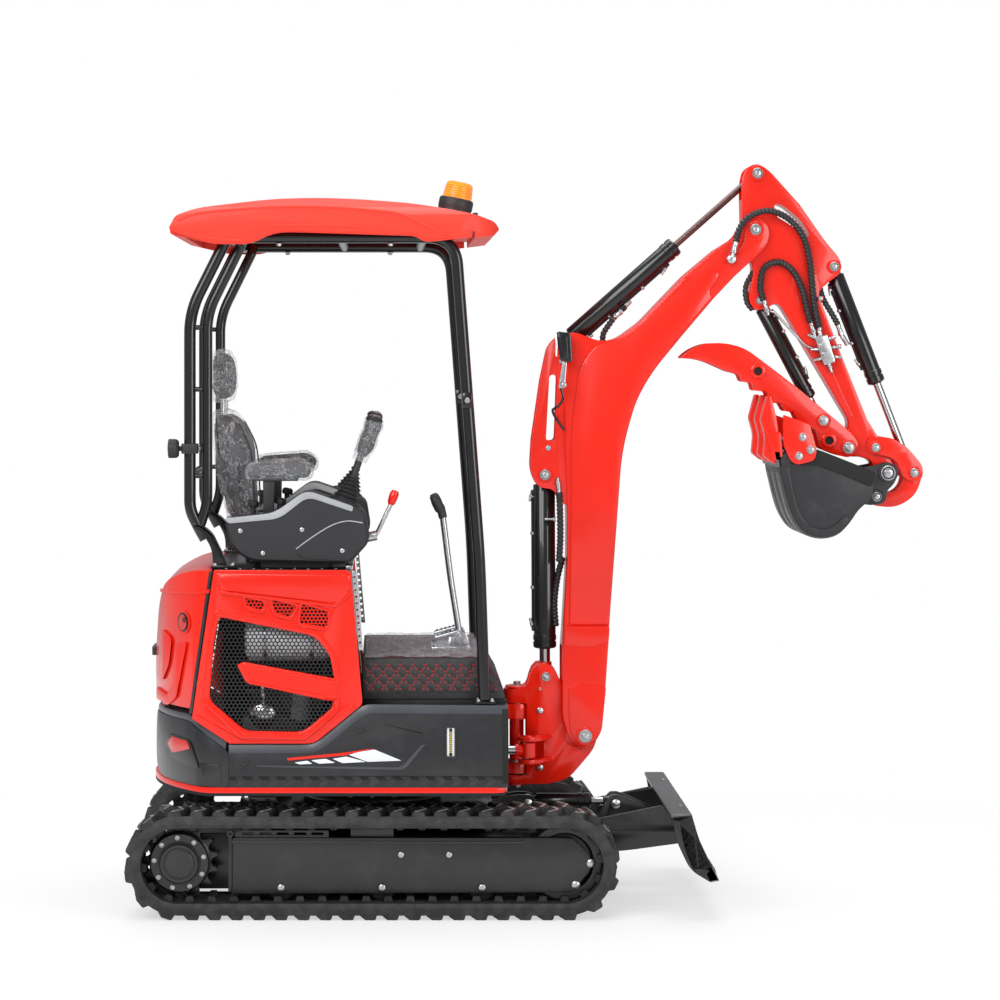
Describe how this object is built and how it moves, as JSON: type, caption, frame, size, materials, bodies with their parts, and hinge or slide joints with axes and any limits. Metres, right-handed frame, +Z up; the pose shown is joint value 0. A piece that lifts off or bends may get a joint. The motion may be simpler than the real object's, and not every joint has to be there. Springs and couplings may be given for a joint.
{
  "type": "mini excavator",
  "caption": "Compact tracked excavator with canopy, slewing house, swinging boom, arm, bucket with thumb, and dozer blade, each worked by its own hydraulic cylinder.",
  "frame": {"origin": "on the ground, under the middle of the machine's bounding box", "axes": "+X forward towards the blade, +Y to the operator's left, +Z up"},
  "size_m": [2.6367, 1, 2.4506],
  "materials": {
    "red_paint": "gloss",
    "roof_paint": "satin",
    "black_paint": "satin",
    "chrome_rod": "polished",
    "steel": "satin",
    "track_rubber": "matte",
    "black_plastic": "matte",
    "black_vinyl": "satin",
    "amber_plastic": "gloss",
    "engine_iron": "matte"
  },
  "bodies": {
    "undercarriage": {"side_frame_right": "black_paint", "side_frame_left": "black_paint", "track_right": "track_rubber", "track_left": "track_rubber", "sprocket_right": "black_paint", "sprocket_left": "black_paint", "idler_right": "black_paint", "idler_left": "black_paint", "carbody": "black_paint"},
    "blade": {"dozer_blade": "black_paint"},
    "blade_barrel": {"blade_cylinder_barrel": "black_paint"},
    "blade_rod": {"blade_cylinder_rod": "chrome_rod"},
    "house": {"deck": "red_paint", "counterweight": "black_paint", "skirt_right": "black_paint", "skirt_left": "black_paint", "side_cover_right": "red_paint", "side_cover_left": "red_paint", "side_grille_right": "black_paint", "side_grille_left": "black_paint", "seat_deck": "black_paint", "engine": "engine_iron", "floor_box": "black_paint", "floor_mat": "black_vinyl", "seat_base": "black_paint", "seat_cushion": "black_vinyl", "seat_backrest": "black_vinyl", "headrest": "black_vinyl", "console_right": "black_plastic", "console_left": "black_plastic", "armrest_right": "black_vinyl", "armrest_left": "black_vinyl", "joystick_right": "black_plastic", "joystick_left": "black_plastic", "blade_lever": "steel", "travel_levers": "steel", "canopy_frame": "black_paint", "canopy_roof": "roof_paint", "beacon": "amber_plastic", "rear_lamp": "black_plastic"},
    "rear_door": {"rear_door": "red_paint"},
    "swing_post": {"swing_post": "red_paint"},
    "swing_barrel": {"swing_cylinder_barrel": "black_paint"},
    "swing_rod": {"swing_cylinder_rod": "chrome_rod"},
    "boom": {"boom": "red_paint", "work_light": "black_plastic"},
    "boom_barrel": {"boom_cylinder_barrel": "black_paint"},
    "boom_rod": {"boom_cylinder_rod": "chrome_rod"},
    "arm": {"arm": "red_paint"},
    "arm_barrel": {"arm_cylinder_barrel": "black_paint"},
    "arm_rod": {"arm_cylinder_rod": "chrome_rod"},
    "bucket": {"bucket": "black_paint"},
    "bucket_barrel": {"bucket_cylinder_barrel": "black_paint"},
    "bucket_rod": {"bucket_cylinder_rod": "chrome_rod"},
    "guide_link": {"guide_link": "red_paint"},
    "bucket_link": {"bucket_link": "red_paint"},
    "thumb": {"thumb": "red_paint"},
    "thumb_barrel": {"thumb_cylinder_barrel": "black_paint"},
    "thumb_rod": {"thumb_cylinder_rod": "chrome_rod"}
  },
  "joints": [
    {"name": "house_swing", "type": "hinge", "parent": "undercarriage", "child": "house", "pos_m": [-0.523, 0, 0.398], "axis": [0, 0, 1], "continuous": true},
    {"name": "rear_door_hinge", "type": "hinge", "parent": "house", "child": "rear_door", "pos_m": [-1.029, 0.494, 0.88], "axis": [0, 0, -1], "range_deg": [0, 80]},
    {"name": "boom_swing", "type": "hinge", "parent": "house", "child": "swing_post", "pos_m": [-0.037, 0, 0.53], "axis": [0, 0, 1], "range_deg": [-50, 65]},
    {"name": "swing_cylinder_pivot", "type": "hinge", "parent": "house", "child": "swing_barrel", "pos_m": [-0.623, -0.17, 0.498], "axis": [0, 0, 1], "range_deg": [-4, 5]},
    {"name": "swing_cylinder_stroke", "type": "slide", "parent": "swing_barrel", "child": "swing_rod", "axis": [0.9973, 0.0729, 0], "range_m": [-0.0962, 0.1245]},
    {"name": "boom_lift", "type": "hinge", "parent": "swing_post", "child": "boom", "pos_m": [0.187, 0, 0.54], "axis": [0, 1, 0], "range_deg": [-4, 78]},
    {"name": "boom_cylinder_pivot", "type": "hinge", "parent": "boom", "child": "boom_barrel", "pos_m": [0.054, 0, 1.41], "axis": [0, 1, 0], "range_deg": [-1, 8]},
    {"name": "boom_cylinder_stroke", "type": "slide", "parent": "boom_barrel", "child": "boom_rod", "axis": [0.0044, 0, -1], "range_m": [-0.014, 0.261]},
    {"name": "arm_crowd", "type": "hinge", "parent": "boom", "child": "arm", "pos_m": [0.757, 0, 2.23], "axis": [0, 1, 0], "range_deg": [-80, 2]},
    {"name": "arm_cylinder_pivot", "type": "hinge", "parent": "boom", "child": "arm_barrel", "pos_m": [0.122, 0, 1.85], "axis": [0, 1, 0], "range_deg": [-4.5, 0.5]},
    {"name": "arm_cylinder_stroke", "type": "slide", "parent": "arm_barrel", "child": "arm_rod", "axis": [0.7493, 0, 0.6622], "range_m": [-0.233, 0.007]},
    {"name": "bucket_curl", "type": "hinge", "parent": "arm", "child": "bucket", "pos_m": [1.199, 0, 1.417], "axis": [0, 1, 0], "range_deg": [-145, 0]},
    {"name": "guide_link_pivot", "type": "hinge", "parent": "arm", "child": "guide_link", "pos_m": [1.161, 0, 1.501], "axis": [0, 1, 0], "range_deg": [-75, 0.5]},
    {"name": "bucket_link_pivot", "type": "hinge", "parent": "guide_link", "child": "bucket_link", "pos_m": [1.29, 0, 1.417], "axis": [0, 1, 0], "range_deg": [-0.5, 8.5]},
    {"name": "bucket_cylinder_pivot", "type": "hinge", "parent": "arm", "child": "bucket_barrel", "pos_m": [1.024, 0, 2.107], "axis": [0, 1, 0], "range_deg": [-8, 0.5]},
    {"name": "bucket_cylinder_stroke", "type": "slide", "parent": "bucket_barrel", "child": "bucket_rod", "axis": [0.3597, 0, -0.9331], "range_m": [-0.172, 0.002]},
    {"name": "thumb_close", "type": "hinge", "parent": "arm", "child": "thumb", "pos_m": [1.07, 0, 1.501], "axis": [0, 1, 0], "range_deg": [-30, 0]},
    {"name": "thumb_cylinder_pivot", "type": "hinge", "parent": "arm", "child": "thumb_barrel", "pos_m": [0.775, 0, 1.993], "axis": [0, 1, 0], "range_deg": [-0.5, 7.5]},
    {"name": "thumb_cylinder_stroke", "type": "slide", "parent": "thumb_barrel", "child": "thumb_rod", "axis": [0.4657, 0, -0.885], "range_m": [-0.001, 0.034]},
    {"name": "blade_lift", "type": "hinge", "parent": "undercarriage", "child": "blade", "pos_m": [-0.093, 0, 0.2], "axis": [0, 1, 0], "range_deg": [-10, 28]},
    {"name": "blade_cylinder_pivot", "type": "hinge", "parent": "undercarriage", "child": "blade_barrel", "pos_m": [-0.003, 0, 0.308], "axis": [0, 1, 0], "range_deg": [-13, 35]},
    {"name": "blade_cylinder_stroke", "type": "slide", "parent": "blade_barrel", "child": "blade_rod", "axis": [1, 0, 0], "range_m": [-0.022, 0.059]}
  ],
  "couplings": [
    {"joint": "swing_cylinder_pivot", "follows": "boom_swing", "ratio": 0.05},
    {"joint": "swing_cylinder_stroke", "follows": "boom_swing", "m_per_rad": 0.108},
    {"joint": "boom_cylinder_pivot", "follows": "boom_lift", "ratio": 0.0947},
    {"joint": "boom_cylinder_stroke", "follows": "boom_lift", "m_per_rad": 0.1899},
    {"joint": "arm_cylinder_pivot", "follows": "arm_crowd", "ratio": 0.051},
    {"joint": "arm_cylinder_stroke", "follows": "arm_crowd", "m_per_rad": 0.1657},
    {"joint": "guide_link_pivot", "follows": "bucket_curl", "ratio": 0.5125},
    {"joint": "bucket_link_pivot", "follows": "bucket_curl", "ratio": -0.0537},
    {"joint": "bucket_cylinder_pivot", "follows": "bucket_curl", "ratio": 0.05},
    {"joint": "bucket_cylinder_stroke", "follows": "bucket_curl", "m_per_rad": 0.0672},
    {"joint": "thumb_cylinder_pivot", "follows": "thumb_close", "ratio": -0.2257},
    {"joint": "thumb_cylinder_stroke", "follows": "thumb_close", "m_per_rad": -0.0612},
    {"joint": "blade_cylinder_pivot", "follows": "blade_lift", "ratio": 1.2048},
    {"joint": "blade_cylinder_stroke", "follows": "blade_lift", "m_per_rad": 0.117}
  ]
}
